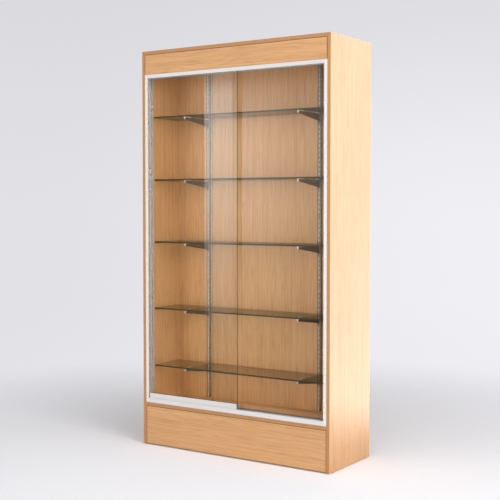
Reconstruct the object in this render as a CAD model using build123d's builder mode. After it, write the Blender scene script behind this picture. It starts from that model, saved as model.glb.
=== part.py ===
# Glass display cabinet: a tall board carcass with two bypassing glass doors that roll in
# aluminium tracks, and glass shelves on brackets hooked into slotted uprights.
#
# Lengths are in millimetres. The origin is on the floor at the centre of the footprint,
# +Z is up, the doors face -Y, and +X is to the right of someone facing the doors.

import os

from build123d import *

os.makedirs("parts", exist_ok=True)

# Carcass sizes
cabinet_width = 1200.0
cabinet_height = 2200.0
cabinet_depth = 435.0
board = 19.0
edge_round = 1.0
deck_height = 241.0
header_height = 110.0
back_depth = 312.0
plinth_floor_gap = 8.0
plinth_setback = 2.0
plinth_side_gap = 1.0
rear_rail_height = 120.0
rear_rail_setback = 20.0
header_rail_depth = 60.0
batten = 25.0
block_size = 18.0
block_length = 60.0
glide_height = 4.0
glide_radius = 8.0
glide_chamfer = 1.0
glide_inset = 45.0

# Aluminium frame and tracks
frame_setback = 1.0
frame_face = 18.0
profile_wall = 1.6
track_lip = 2.0
track_channel = 23.0
track_floor = 1.5
lip_height = 25.0
lip_round = 0.8
top_track_height = 20.0
top_plate = 2.0
rib_width = 3.0
rib_height = 1.5
guide_channel = 10.0
guide_wall = 1.4
jamb_groove_depth = 12.0
buffer_thickness = 3.0
buffer_width = 12.0
buffer_height = 12.0
buffer_chamfer = 2.0

# Sliding doors
door_glass = 6.0
front_door_edge = 33.0
rear_door_edge = -144.0
glass_into_jamb = 8.0
glass_top_gap = 6.0
gasket = 1.0
shoe_lift = 3.0
front_shoe_width = 19.0
front_shoe_height = 48.5
rear_shoe_width = 14.0
rear_shoe_height = 18.5
shoe_web = 1.5
end_cap = 1.5
buffer_gap = 0.5
roller_chamber = 8.0
roller_tread = 4.5
roller_flange = 5.7
roller_width = 5.0
roller_groove_floor = 3.6
roller_head_room = 0.8
roller_inset = 70.0
rolling_gap = 0.3
axle_radius = 1.5
axle_end_gap = 1.0
turning_clearance = 0.05

# Slotted uprights
upright_spacing = 730.0
upright_width = 24.0
upright_depth = 12.0
upright_sheet = 1.5
upright_foot_gap = 6.0
upright_head_gap = 31.0
slot_width = 5.0
slot_height = 14.0
slot_pitch = 25.0
first_slot = 22.0

# Shelves and the brackets that carry them, top shelf first
shelf_glass = 8.0
shelf_front_depth = 78.0
shelf_rear_gap = 3.0
shelf_end_gap = 5.0
shelf_slots = (62, 48, 34, 19, 6)
blade = 4.0
blade_rear_height = 49.0
blade_waist_height = 37.0
blade_tip_height = 10.0
blade_tip_round = 3.0
flare_length = 20.0
hook_drop = 14.0
hook_neck = 8.0
hook_tooth = 5.0
hook_tooth_width = 3.0
hook_chamfer = 1.2
hook_gap = 0.2
pad_thickness = 3.0
pad_width = 14.0
front_pad_length = 50.0
rear_pad_length = 20.0
nose_width = 7.0
nose_thickness = 4.0
nose_setback = 3.0
arris = 0.6

# Raised-head screws
screw_radius = 1.9
screw_head_radius = 3.6
screw_head_height = 1.7
screw_head_top = 2.6
screw_length = 16.0
screw_clearance = 0.1
track_screw_count = 3
track_screw_margin = 60.0

# Levels and faces worked out from the sizes above
half_width = cabinet_width / 2
inner_half = half_width - board
front = -cabinet_depth / 2
rear = cabinet_depth / 2
deck_bottom = deck_height - board
top_bottom = cabinet_height - board
frame_top = top_bottom - header_height
back_face = front + back_depth
frame_front = front + frame_setback
track_depth = 3 * track_lip + 2 * track_channel
frame_rear = frame_front + track_depth
front_pane_y = frame_front + track_lip + track_channel / 2
rear_pane_y = front_pane_y + track_channel + track_lip
pane_lines = (front_pane_y, rear_pane_y)
jamb_inner = inner_half - frame_face
track_surface = deck_height + track_floor
shoe_bottom = track_surface + shoe_lift
axle_height = track_surface + rib_height + rolling_gap + roller_tread
chamber_top = axle_height + roller_flange + roller_head_room
glass_seat = chamber_top + shoe_web
glass_bottom = glass_seat + gasket
glass_top = frame_top - top_plate - glass_top_gap
shoe_end = jamb_inner - buffer_thickness - buffer_gap
upright_front = back_face - upright_depth
upright_bottom = deck_height + upright_foot_gap
upright_top = top_bottom - upright_head_gap
upright_length = upright_top - upright_bottom
slot_count = int((upright_length - first_slot - slot_height) / slot_pitch) + 1
shelf_front = front + shelf_front_depth
shelf_rear = upright_front - shelf_rear_gap
blade_tip = shelf_front + nose_setback + nose_thickness

# Uprights are screwed near both ends and half-way between the middle shelves
upright_screw_slots = (
    1,
    (shelf_slots[3] + shelf_slots[2]) // 2,
    (shelf_slots[2] + shelf_slots[1]) // 2,
    slot_count - 2,
)


def slot_floor(slot):
    """Height of the lower edge of a slot, counted from the foot of the upright."""
    return upright_bottom + first_slot + slot * slot_pitch


def bracket_top(slot):
    """Height of the blade's upper edge when its upper hook hangs in the given slot."""
    return slot_floor(slot) + hook_drop


def spread(count, half_span):
    """Evenly spaced places from -half_span to +half_span."""
    return [half_span * (2 * i / (count - 1) - 1) for i in range(count)]


def raised_head_screw(length):
    """A screw standing on its point below the origin, with its head from there up."""
    with BuildPart() as screw:
        with BuildSketch(Plane.XZ):
            with BuildLine():
                Polyline(
                    (0, -length),
                    (screw_radius, -length),
                    (screw_radius, 0),
                    (screw_head_radius, 0),
                    (screw_head_top, screw_head_height),
                    (0, screw_head_height),
                    close=True,
                )
            make_face()
        revolve(axis=Axis.Z)
    return screw.part


track_screw_places = spread(track_screw_count, jamb_inner - track_screw_margin)
bottom_screw_y = frame_front + track_lip + (track_channel / 2 - rib_width / 2) / 2
top_screw_y = (front_pane_y + rear_pane_y) / 2

# Side panels, standing on glides, with rounded edging down the front
for side, sign in (("left", -1), ("right", 1)):
    with BuildPart() as side_panel:
        with BuildSketch(Plane.XY.offset(glide_height)):
            with Locations((sign * (half_width - board / 2), 0)):
                Rectangle(board, cabinet_depth)
        extrude(amount=cabinet_height - glide_height)
        front_edges = side_panel.edges().filter_by(Axis.Z).group_by(Axis.Y)[0]
        fillet(front_edges, edge_round)
    side_panel.part.label = f"{side}_side_panel"
    export_step(side_panel.part, f"parts/{side}_side_panel.step")

# Top panel, let in between the sides
with BuildPart() as top_panel:
    with BuildSketch(Plane.XY.offset(top_bottom)):
        Rectangle(2 * inner_half, cabinet_depth)
    extrude(amount=board)
    fillet(top_panel.edges().filter_by(Axis.X).group_by(Axis.Y)[0], edge_round)
top_panel.part.label = "top_panel"
export_step(top_panel.part, "parts/top_panel.step")

# Deck, the floor of the display space, with pilot holes for the bottom track
with BuildPart() as deck_panel:
    with BuildSketch(Plane.XY.offset(deck_bottom)):
        Rectangle(2 * inner_half, cabinet_depth)
    extrude(amount=board)
    with BuildSketch(Plane.XY.offset(deck_height)):
        with Locations(*[(x, bottom_screw_y) for x in track_screw_places]):
            Circle(screw_radius + screw_clearance)
    extrude(amount=-screw_length, mode=Mode.SUBTRACT)
deck_panel.part.label = "deck_panel"
export_step(deck_panel.part, "parts/deck_panel.step")

# Back board, set in from the rear edges, with pilot holes for the uprights
with BuildPart() as back_panel:
    with BuildSketch(Plane.XY.offset(deck_height)):
        with Locations((0, back_face + board / 2)):
            Rectangle(2 * inner_half, board)
    extrude(amount=top_bottom - deck_height)
    with BuildSketch(Plane.XZ.offset(-back_face)):
        for x in (-upright_spacing / 2, upright_spacing / 2):
            for slot in upright_screw_slots:
                with Locations((x, slot_floor(slot) - (slot_pitch - slot_height) / 2)):
                    Circle(screw_radius + screw_clearance)
    extrude(amount=-screw_length, mode=Mode.SUBTRACT)
back_panel.part.label = "back_panel"
export_step(back_panel.part, "parts/back_panel.step")

# Battens behind the back board, which hold it to the sides
for side, sign in (("left", -1), ("right", 1)):
    with BuildPart() as back_batten:
        with BuildSketch(Plane.XY.offset(deck_height)):
            with Locations((sign * (inner_half - batten / 2), back_face + board + batten / 2)):
                Rectangle(batten, batten)
        extrude(amount=top_bottom - deck_height)
    back_batten.part.label = f"{side}_back_batten"
    export_step(back_batten.part, f"parts/{side}_back_batten.step")

# Header fascia above the doors, with its front edges eased all round
with BuildPart() as header_fascia:
    with BuildSketch(Plane.XY.offset(frame_top)):
        with Locations((0, front + board / 2)):
            Rectangle(2 * inner_half, board)
    extrude(amount=header_height)
    chamfer(header_fascia.faces().sort_by(Axis.Y)[0].edges(), edge_round)
header_fascia.part.label = "header_fascia"
export_step(header_fascia.part, "parts/header_fascia.step")

# Header rail behind the fascia, which the top track is screwed up into
with BuildPart() as header_rail:
    with BuildSketch(Plane.XY.offset(frame_top)):
        with Locations((0, front + board + header_rail_depth / 2)):
            Rectangle(2 * inner_half, header_rail_depth)
    extrude(amount=board)
    with BuildSketch(Plane.XY.offset(frame_top)):
        with Locations(*[(x, top_screw_y) for x in track_screw_places]):
            Circle(screw_radius + screw_clearance)
    extrude(amount=screw_length, mode=Mode.SUBTRACT)
header_rail.part.label = "header_rail"
export_step(header_rail.part, "parts/header_rail.step")

# Plinth board, just clear of the sides and of the floor, with eased front edges
with BuildPart() as plinth_panel:
    with BuildSketch(Plane.XY.offset(plinth_floor_gap)):
        with Locations((0, front + plinth_setback + board / 2)):
            Rectangle(2 * (inner_half - plinth_side_gap), board)
    extrude(amount=deck_bottom - plinth_floor_gap)
    chamfer(plinth_panel.faces().sort_by(Axis.Y)[0].edges(), edge_round)
plinth_panel.part.label = "plinth_panel"
export_step(plinth_panel.part, "parts/plinth_panel.step")

# Rear rail under the deck
rear_rail_y = rear - rear_rail_setback - board / 2
with BuildPart() as rear_plinth_rail:
    with BuildSketch(Plane.XY.offset(deck_bottom - rear_rail_height)):
        with Locations((0, rear_rail_y)):
            Rectangle(2 * inner_half, board)
    extrude(amount=rear_rail_height)
rear_plinth_rail.part.label = "rear_plinth_rail"
export_step(rear_plinth_rail.part, "parts/rear_plinth_rail.step")

# Centre support under the deck, from the plinth to the rear rail
support_front = front + plinth_setback + board
support_rear = rear_rail_y - board / 2
with BuildPart() as centre_support:
    with BuildSketch(Plane.XY.offset(glide_height)):
        with Locations((0, (support_front + support_rear) / 2)):
            Rectangle(board, support_rear - support_front)
    extrude(amount=deck_bottom - glide_height)
centre_support.part.label = "centre_support"
export_step(centre_support.part, "parts/centre_support.step")

# Corner blocks that tie the boards together where they do not show
block_seats = (
    (deck_bottom - block_size, support_front + block_size / 2, inner_half),
    (deck_bottom - block_size, rear_rail_y - board / 2 - block_size / 2, inner_half),
    (top_bottom - block_size, front + board + block_size / 2, inner_half),
    (top_bottom - block_size, back_face - block_size / 2, inner_half),
)
with BuildPart() as corner_blocks:
    for height, y, wall in block_seats:
        for sign in (-1, 1):
            with BuildSketch(Plane.XY.offset(height)):
                with Locations((sign * (wall - block_length / 2), y)):
                    Rectangle(block_length, block_size)
            extrude(amount=block_size)
corner_blocks.part.label = "corner_blocks"
export_step(corner_blocks.part, "parts/corner_blocks.step")

# Nail-on glides under the sides and the centre support
glide_places = []
for y in (front + glide_inset, rear - glide_inset):
    glide_places.append((-(half_width - board / 2), y))
    glide_places.append((half_width - board / 2, y))
glide_places.append((0, support_front + glide_inset))
glide_places.append((0, support_rear - glide_inset))
with BuildPart() as floor_glides:
    with BuildSketch(Plane.XY):
        with Locations(*glide_places):
            Circle(glide_radius)
    extrude(amount=glide_height)
    chamfer(floor_glides.edges().group_by(Axis.Z)[0], glide_chamfer)
floor_glides.part.label = "floor_glides"
export_step(floor_glides.part, "parts/floor_glides.step")

# Hollow chambers left in the profiles beside the two pane grooves
groove_half = guide_channel / 2
chamber_spans = (
    (frame_front + profile_wall, front_pane_y - groove_half - profile_wall),
    (front_pane_y + groove_half + profile_wall, rear_pane_y - groove_half - profile_wall),
    (rear_pane_y + groove_half + profile_wall, frame_rear - profile_wall),
)

# Jambs: upright profiles with a groove for the edge of each pane
for side, sign in (("left", -1), ("right", 1)):
    with BuildPart() as jamb:
        with BuildSketch(Plane.XY.offset(deck_height)):
            with Locations((sign * (inner_half - frame_face / 2), frame_front + track_depth / 2)):
                Rectangle(frame_face, track_depth)
            for y in pane_lines:
                with Locations((sign * (jamb_inner + jamb_groove_depth / 2), y)):
                    Rectangle(jamb_groove_depth, guide_channel, mode=Mode.SUBTRACT)
            for near, far in chamber_spans:
                with Locations((sign * (inner_half - frame_face / 2), (near + far) / 2)):
                    Rectangle(frame_face - 2 * profile_wall, far - near, mode=Mode.SUBTRACT)
        extrude(amount=frame_top - deck_height)
    jamb.part.label = f"{side}_jamb"
    export_step(jamb.part, f"parts/{side}_jamb.step")

# Top track: a hollow profile with two guide channels, screwed up through its middle
with BuildPart() as top_track:
    with BuildSketch(Plane.YZ):
        with Locations((frame_front + track_depth / 2, frame_top - top_track_height / 2)):
            Rectangle(track_depth, top_track_height)
        for y in pane_lines:
            channel_height = top_track_height - top_plate
            with Locations((y, frame_top - top_track_height + channel_height / 2)):
                Rectangle(guide_channel, channel_height, mode=Mode.SUBTRACT)
        for near, far in chamber_spans[::2]:
            with Locations(((near + far) / 2, frame_top - top_track_height / 2)):
                Rectangle(far - near, top_track_height - 2 * profile_wall, mode=Mode.SUBTRACT)
        near, far = chamber_spans[1]
        middle_height = top_track_height - top_plate
        with Locations(((near + far) / 2, frame_top - top_track_height + middle_height / 2)):
            Rectangle(far - near, middle_height, mode=Mode.SUBTRACT)
    extrude(amount=jamb_inner, both=True)
    with BuildSketch(Plane.XY.offset(frame_top)):
        with Locations(*[(x, top_screw_y) for x in track_screw_places]):
            Circle(screw_radius + screw_clearance)
    extrude(amount=-top_plate, mode=Mode.SUBTRACT)
top_track.part.label = "top_track"
export_step(top_track.part, "parts/top_track.step")

# Guide liners: nylon channels pressed into the top track, which the panes slide in
liner_height = top_track_height - top_plate
with BuildPart() as top_guides:
    with BuildSketch(Plane.YZ):
        for y in pane_lines:
            with Locations((y, frame_top - top_track_height + liner_height / 2)):
                Rectangle(guide_channel, liner_height)
            with Locations((y, frame_top - top_track_height + (liner_height - guide_wall) / 2)):
                Rectangle(guide_channel - 2 * guide_wall, liner_height - guide_wall, mode=Mode.SUBTRACT)
    extrude(amount=jamb_inner, both=True)
top_guides.part.label = "top_guides"
export_step(top_guides.part, "parts/top_guides.step")

# Bottom track: two open channels, each with a running rib down its middle
with BuildPart() as bottom_track:
    with BuildSketch(Plane.YZ) as track_section:
        with Locations((frame_front + track_depth / 2, deck_height + lip_height / 2)):
            Rectangle(track_depth, lip_height)
        for y in pane_lines:
            with Locations((y, track_surface + (lip_height - track_floor) / 2)):
                Rectangle(track_channel, lip_height - track_floor, mode=Mode.SUBTRACT)
        lip_corners = track_section.vertices().group_by(Axis.Y)[-1]
        fillet(lip_corners, min(lip_round, 0.45 * track_lip))
        for y in pane_lines:
            with Locations((y, track_surface + rib_height / 2)):
                Rectangle(rib_width, rib_height)
    extrude(amount=jamb_inner, both=True)
    with BuildSketch(Plane.XY.offset(deck_height)):
        with Locations(*[(x, bottom_screw_y) for x in track_screw_places]):
            Circle(screw_radius + screw_clearance)
    extrude(amount=track_floor, mode=Mode.SUBTRACT)
bottom_track.part.label = "bottom_track"
export_step(bottom_track.part, "parts/bottom_track.step")

# Buffers on the jambs, at the ends of the bottom channels, which stop the door shoes
with BuildPart() as door_buffers:
    for sign in (-1, 1):
        with BuildSketch(Plane.YZ.offset(sign * jamb_inner)) as buffer_faces:
            with Locations(*[(y, shoe_bottom + buffer_height / 2) for y in pane_lines]):
                Rectangle(buffer_width, buffer_height)
            chamfer(buffer_faces.vertices(), buffer_chamfer)
        extrude(amount=-sign * buffer_thickness)
door_buffers.part.label = "door_buffers"
export_step(door_buffers.part, "parts/door_buffers.step")

# Screws of the top track, driven upwards from its middle channel
upward_screw = raised_head_screw(screw_length)
with BuildPart() as top_track_screws:
    for x in track_screw_places:
        with Locations(Location((x, top_screw_y, frame_top - top_plate), (180, 0, 0))):
            add(upward_screw)
top_track_screws.part.label = "top_track_screws"
export_step(top_track_screws.part, "parts/top_track_screws.step")

# Screws of the bottom track, in the floor of its front channel
downward_screw = raised_head_screw(screw_length - screw_clearance)
with BuildPart() as bottom_track_screws:
    with Locations(*[(x, bottom_screw_y, track_surface) for x in track_screw_places]):
        add(downward_screw)
bottom_track_screws.part.label = "bottom_track_screws"
export_step(bottom_track_screws.part, "parts/bottom_track_screws.step")

# Slotted uprights: folded channels with a row of hook slots up the front
for side, sign in (("left", -1), ("right", 1)):
    x = sign * upright_spacing / 2
    with BuildPart() as upright:
        with BuildSketch(Plane.XY.offset(upright_bottom)) as channel:
            with Locations((x, back_face - upright_depth / 2)):
                Rectangle(upright_width, upright_depth)
            fillet(channel.vertices().group_by(Axis.Y)[0], upright_sheet)
            with Locations((x, back_face - (upright_depth - upright_sheet) / 2)):
                Rectangle(upright_width - 2 * upright_sheet, upright_depth - upright_sheet,
                          mode=Mode.SUBTRACT)
        extrude(amount=upright_length)
        with BuildSketch(Plane.XZ.offset(-upright_front)):
            slots = [(x, slot_floor(i) + slot_height / 2) for i in range(slot_count)]
            with Locations(*slots):
                Rectangle(slot_width, slot_height)
            for slot in upright_screw_slots:
                with Locations((x, slot_floor(slot) - (slot_pitch - slot_height) / 2)):
                    Circle(screw_radius + screw_clearance)
        extrude(amount=-upright_sheet, mode=Mode.SUBTRACT)
    upright.part.label = f"{side}_upright"
    export_step(upright.part, f"parts/{side}_upright.step")

# Screws through the uprights into the back board, between the slots
rearward_screw = raised_head_screw(upright_depth + screw_length / 2)
with BuildPart() as upright_screws:
    for x in (-upright_spacing / 2, upright_spacing / 2):
        for slot in upright_screw_slots:
            z = slot_floor(slot) - (slot_pitch - slot_height) / 2
            with Locations(Location((x, upright_front, z), (90, 0, 0))):
                add(rearward_screw)
upright_screws.part.label = "upright_screws"
export_step(upright_screws.part, "parts/upright_screws.step")

# Glass shelves, with a ground arris all round
for number, slot in enumerate(shelf_slots, start=1):
    with BuildPart() as shelf:
        with BuildSketch(Plane.XY.offset(bracket_top(slot) + pad_thickness)):
            with Locations((0, (shelf_front + shelf_rear) / 2)):
                Rectangle(2 * (inner_half - shelf_end_gap), shelf_rear - shelf_front)
        extrude(amount=shelf_glass)
        chamfer(shelf.edges(), arris)
    shelf.part.label = f"shelf_{number}"
    export_step(shelf.part, f"parts/shelf_{number}.step")

# Shelf brackets: tapered blades that flare at the root and hook into the slots
for number, slot in enumerate(shelf_slots, start=1):
    for side, sign in (("left", -1), ("right", 1)):
        top = bracket_top(slot)
        with BuildPart() as bracket:
            with BuildSketch(Plane.YZ.offset(sign * upright_spacing / 2 - blade / 2)) as outline:
                with BuildLine():
                    Polyline(
                        (upright_front, top - blade_rear_height),
                        (upright_front, top),
                        (blade_tip, top),
                        (blade_tip, top - blade_tip_height),
                    )
                    lower = Line(
                        (blade_tip, top - blade_tip_height),
                        (upright_front - flare_length, top - blade_waist_height),
                    )
                    TangentArc(
                        lower @ 1,
                        (upright_front, top - blade_rear_height),
                        tangent=lower % 1,
                    )
                make_face()
                fillet(outline.vertices().group_by(Axis.X)[0].sort_by(Axis.Y)[0], blade_tip_round)
                for hook in (0, 1):
                    floor = slot_floor(slot - hook)
                    neck = upright_sheet + hook_gap + hook_tooth_width
                    with Locations((upright_front + neck / 2, floor + hook_neck / 2)):
                        Rectangle(neck, hook_neck)
                    with Locations((upright_front + neck - hook_tooth_width / 2,
                                    floor - hook_tooth / 2)):
                        Rectangle(hook_tooth_width, hook_tooth)
                chamfer(outline.vertices().group_by(Axis.X)[-1], hook_chamfer)
            extrude(amount=blade)
        bracket.part.label = f"bracket_{number}_{side}"
        export_step(bracket.part, f"parts/bracket_{number}_{side}.step")

# Plastic pads between the brackets and the glass; the front ones fold over the tips
with BuildPart() as bracket_pads:
    for slot in shelf_slots:
        top = bracket_top(slot)
        for x in (-upright_spacing / 2, upright_spacing / 2):
            with BuildSketch(Plane.XY.offset(top)):
                with Locations((x, blade_tip - nose_thickness + front_pad_length / 2)):
                    Rectangle(pad_width, front_pad_length)
                with Locations((x, upright_front - shelf_rear_gap - rear_pad_length / 2)):
                    Rectangle(pad_width, rear_pad_length)
            extrude(amount=pad_thickness)
            with BuildSketch(Plane.XY.offset(top - blade_tip_height)):
                with Locations((x, blade_tip - nose_thickness / 2)):
                    Rectangle(nose_width, nose_thickness)
            extrude(amount=blade_tip_height)
bracket_pads.part.label = "bracket_pads"
export_step(bracket_pads.part, "parts/bracket_pads.step")

# Doors. Each one runs from its free edge to a jamb, and its shoe stops at a buffer there.
doors = (
    ("front", front_pane_y, -1, front_door_edge, front_shoe_width, front_shoe_height),
    ("rear", rear_pane_y, 1, rear_door_edge, rear_shoe_width, rear_shoe_height),
)
for name, y, jamb_sign, free_edge, shoe_width, shoe_height in doors:
    jamb_edge = jamb_sign * (jamb_inner + glass_into_jamb)
    shoe_jamb_end = jamb_sign * (shoe_end - end_cap)
    shoe_free_end = free_edge + jamb_sign * end_cap
    shoe_length = abs(shoe_jamb_end - shoe_free_end)
    shoe_middle = (shoe_jamb_end + shoe_free_end) / 2
    shoe_top = shoe_bottom + shoe_height
    channel_width = door_glass + 2 * gasket
    glass_grip = shoe_top - glass_seat
    roller_places = (
        ("left", min(shoe_jamb_end, shoe_free_end) + roller_inset),
        ("right", max(shoe_jamb_end, shoe_free_end) - roller_inset),
    )

    with BuildPart() as pane:
        with BuildSketch(Plane.XY.offset(glass_bottom)):
            with Locations(((jamb_edge + free_edge) / 2, y)):
                Rectangle(abs(jamb_edge - free_edge), door_glass)
        extrude(amount=glass_top - glass_bottom)
        chamfer(pane.edges().filter_by(Axis.Z), arris)
    pane.part.label = f"{name}_door_glass"
    export_step(pane.part, f"parts/{name}_door_glass.step")

    with BuildPart() as shoe:
        with BuildSketch(Plane.YZ.offset(shoe_middle)):
            with Locations((y, shoe_bottom + shoe_height / 2)):
                Rectangle(shoe_width, shoe_height)
            with Locations((y, (shoe_bottom + chamber_top) / 2)):
                Rectangle(roller_chamber, chamber_top - shoe_bottom, mode=Mode.SUBTRACT)
            with Locations((y, glass_seat + glass_grip / 2)):
                Rectangle(channel_width, glass_grip, mode=Mode.SUBTRACT)
            flange = (shoe_width - channel_width) / 2
            if flange > 3 * profile_wall:
                for direction in (-1, 1):
                    middle = y + direction * (channel_width + flange) / 2
                    with Locations((middle, glass_seat + glass_grip / 2)):
                        Rectangle(flange - 2 * profile_wall, glass_grip - 2 * profile_wall,
                                  mode=Mode.SUBTRACT)
        extrude(amount=shoe_length / 2, both=True)
        with BuildSketch(Plane.XZ.offset(-y)):
            with Locations(*[(x, axle_height) for _, x in roller_places]):
                Circle(axle_radius + turning_clearance / 2)
        extrude(amount=shoe_width, both=True, mode=Mode.SUBTRACT)
    shoe.part.label = f"{name}_door_shoe"
    export_step(shoe.part, f"parts/{name}_door_shoe.step")

    with BuildPart() as glazing_gasket:
        with BuildSketch(Plane.YZ.offset(shoe_middle)):
            with Locations((y, glass_seat + glass_grip / 2)):
                Rectangle(channel_width, glass_grip)
            with Locations((y, glass_bottom + (glass_grip - gasket) / 2)):
                Rectangle(door_glass, glass_grip - gasket, mode=Mode.SUBTRACT)
        extrude(amount=shoe_length / 2, both=True)
    glazing_gasket.part.label = f"{name}_door_gasket"
    export_step(glazing_gasket.part, f"parts/{name}_door_gasket.step")

    with BuildPart() as end_caps:
        with BuildSketch(Plane.YZ.offset(shoe_free_end)):
            with Locations((y, shoe_bottom + shoe_height / 2)):
                Rectangle(shoe_width, shoe_height)
            with Locations((y, glass_seat + glass_grip / 2)):
                Rectangle(channel_width, glass_grip, mode=Mode.SUBTRACT)
        extrude(amount=-jamb_sign * end_cap)
        with BuildSketch(Plane.YZ.offset(shoe_jamb_end)):
            with Locations((y, shoe_bottom + shoe_height / 2)):
                Rectangle(shoe_width, shoe_height)
            with Locations((y, glass_seat + glass_grip / 2)):
                Rectangle(channel_width, glass_grip, mode=Mode.SUBTRACT)
        extrude(amount=jamb_sign * end_cap)
    end_caps.part.label = f"{name}_door_end_caps"
    export_step(end_caps.part, f"parts/{name}_door_end_caps.step")

    with BuildPart() as axles:
        with BuildSketch(Plane.XZ.offset(-y)):
            with Locations(*[(x, axle_height) for _, x in roller_places]):
                Circle(axle_radius)
        extrude(amount=shoe_width / 2 - axle_end_gap, both=True)
    axles.part.label = f"{name}_door_axles"
    export_step(axles.part, f"parts/{name}_door_axles.step")

    # Grooved rollers, turned about their axles, that run on the rib of the track
    for end, x in roller_places:
        with BuildPart() as roller:
            with BuildSketch(Plane.YZ.offset(x)):
                with BuildLine():
                    bore = axle_radius + turning_clearance
                    half = roller_width / 2
                    groove = roller_groove_floor / 2
                    Polyline(
                        (y - half, axle_height + bore),
                        (y - half, axle_height + roller_flange),
                        (y - groove, axle_height + roller_tread),
                        (y + groove, axle_height + roller_tread),
                        (y + half, axle_height + roller_flange),
                        (y + half, axle_height + bore),
                        close=True,
                    )
                make_face()
            revolve(axis=Axis((x, y, axle_height), (0, 1, 0)))
        roller.part.label = f"{name}_{end}_roller"
        export_step(roller.part, f"parts/{name}_{end}_roller.step")
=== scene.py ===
"""Dresses the packed glass display cabinet: boards, aluminium frame, glass, shelf carriers and door gear.

Lengths are in metres in the frame of the part: +Z is up, the doors face -Y, and +X is to the right of
someone facing the doors. Sizes that a maker would read in millimetres are multiplied by MM.
"""

import math
from functools import partial

import bmesh
import bpy
import numpy as np
from bpy.props import FloatProperty, FloatVectorProperty, PointerProperty
from bpy.types import NodeSocket, Operator, Panel, PropertyGroup, Scene
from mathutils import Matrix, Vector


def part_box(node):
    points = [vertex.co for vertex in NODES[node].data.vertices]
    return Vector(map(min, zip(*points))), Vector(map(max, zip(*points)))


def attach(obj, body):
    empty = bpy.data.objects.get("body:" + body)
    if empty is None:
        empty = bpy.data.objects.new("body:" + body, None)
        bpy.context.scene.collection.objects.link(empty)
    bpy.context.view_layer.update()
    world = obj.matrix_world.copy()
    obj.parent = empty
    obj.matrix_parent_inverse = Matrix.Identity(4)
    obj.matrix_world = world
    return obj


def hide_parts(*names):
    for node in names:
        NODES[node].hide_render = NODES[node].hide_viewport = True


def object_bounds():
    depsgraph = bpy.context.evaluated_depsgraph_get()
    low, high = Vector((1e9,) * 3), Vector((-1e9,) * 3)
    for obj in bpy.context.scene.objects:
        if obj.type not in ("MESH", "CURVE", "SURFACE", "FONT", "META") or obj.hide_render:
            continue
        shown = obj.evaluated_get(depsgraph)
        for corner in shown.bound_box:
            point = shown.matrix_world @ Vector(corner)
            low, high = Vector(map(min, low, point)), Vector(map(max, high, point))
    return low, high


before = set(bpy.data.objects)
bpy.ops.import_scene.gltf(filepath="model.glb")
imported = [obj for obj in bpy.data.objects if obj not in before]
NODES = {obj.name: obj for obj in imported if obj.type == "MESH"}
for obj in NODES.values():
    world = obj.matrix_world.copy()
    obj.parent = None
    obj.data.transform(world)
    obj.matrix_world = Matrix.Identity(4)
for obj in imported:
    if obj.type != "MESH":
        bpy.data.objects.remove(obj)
CAD_BOX = [list(corner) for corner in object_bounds()]
MM = 0.001

bl_info = {
    "name": "Glass Display Cabinet",
    "version": (1, 0, 0),
    "blender": (4, 5, 0),
    "location": "View3D > Sidebar > Cabinet",
    "description": "Surfaces, glass and fittings of a tall display cabinet with sliding glass doors",
    "category": "Object",
}


def linear(code):
    """The linear RGB of an sRGB hex colour: c / 12.92 near black, ((c + 0.055) / 1.055)^2.4 above."""
    parts = np.array([int(code[i:i + 2], 16) for i in (1, 3, 5)]) / 255
    return tuple(np.where(parts <= 0.04045, parts / 12.92, ((parts + 0.055) / 1.055) ** 2.4).tolist())


def colour(name, code, description):
    """A colour setting whose default is an sRGB hex colour."""
    return FloatVectorProperty(name=name, description=description, default=linear(code), size=3,
                               min=0, max=1, subtype="COLOR")


def length(name, millimetres, description):
    """A length setting whose default is given in millimetres."""
    return FloatProperty(name=name, description=description, default=millimetres * MM, min=0, unit="LENGTH")


def share(name, value, description):
    """A setting between nothing and one."""
    return FloatProperty(name=name, description=description, default=value, min=0, max=1, subtype="FACTOR")


def amount(name, value, description, least=0):
    """A plain number with a least value."""
    return FloatProperty(name=name, description=description, default=value, min=least)


class BoardSettings(PropertyGroup):
    """Melamine-faced boards with a light oak print."""
    oak_light: colour("Light oak", "#EAB57E", "Pale wood between the growth lines")
    oak_dark: colour("Dark oak", "#C68E56", "Wood along the growth lines")
    pore_tone: colour("Pores", "#B27C47", "Bottom of the printed pores")
    edge_band: colour("Edge banding", "#C08A52", "Glued banding on the front edges")
    chip_light: colour("Light chips", "#CDAE86", "Light chips of the bare chipboard")
    chip_dark: colour("Dark chips", "#8E6B45", "Dark chips of the bare chipboard")
    # painted shade: this colour and the seam reach below darken the eased edges and a strip beside each joint, as
    # the shade in the joints
    joint_shade: colour("Paper core", "#5E3718", "Core of the paper along the eased edges")
    seam: length("Seam", 3.2, "Reach of the brown line beside a joint")
    growth_line: length("Growth line step", 9, "Rise of the swell between growth lines")
    stripe_width: length("Stripe width", 11, "Width of the stripes along the grain")
    pore_width: length("Pore width", 4.5, "Width of a drawn pore streak")
    pore_length: length("Pore length", 170, "Length of a drawn pore streak")
    figure_width: length("Figure width", 70, "Width of an arch in the print")
    figure_length: length("Figure length", 560, "Length of an arch in the print")
    figure_depth: length("Figure depth", 80, "Height of the swell whose levels are growth lines")
    band_depth: length("Banding depth", 1, "Thickness of the edge banding")
    chip_size: length("Chip size", 4, "Size of a chip in the bare chipboard")
    face_roughness: share("Face roughness", 0.42, "Satin of the standing boards")
    deck_roughness: share("Deck roughness", 0.27, "Satin of the deck, which is wiped often")


class AluminiumSettings(PropertyGroup):
    """Satin anodised profiles."""
    tone: colour("Anodised aluminium", "#F4F1EF", "Reflection of the satin anodised surface")
    die_line: length("Die line spacing", 7, "Distance between die lines, drawn coarser than they are")
    roughness: share("Roughness", 0.4, "Roughness of the etch under the anodising")
    jamb_roughness: share("Jamb roughness", 0.27, "Roughness of the jambs, which are wiped with the panes")


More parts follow.
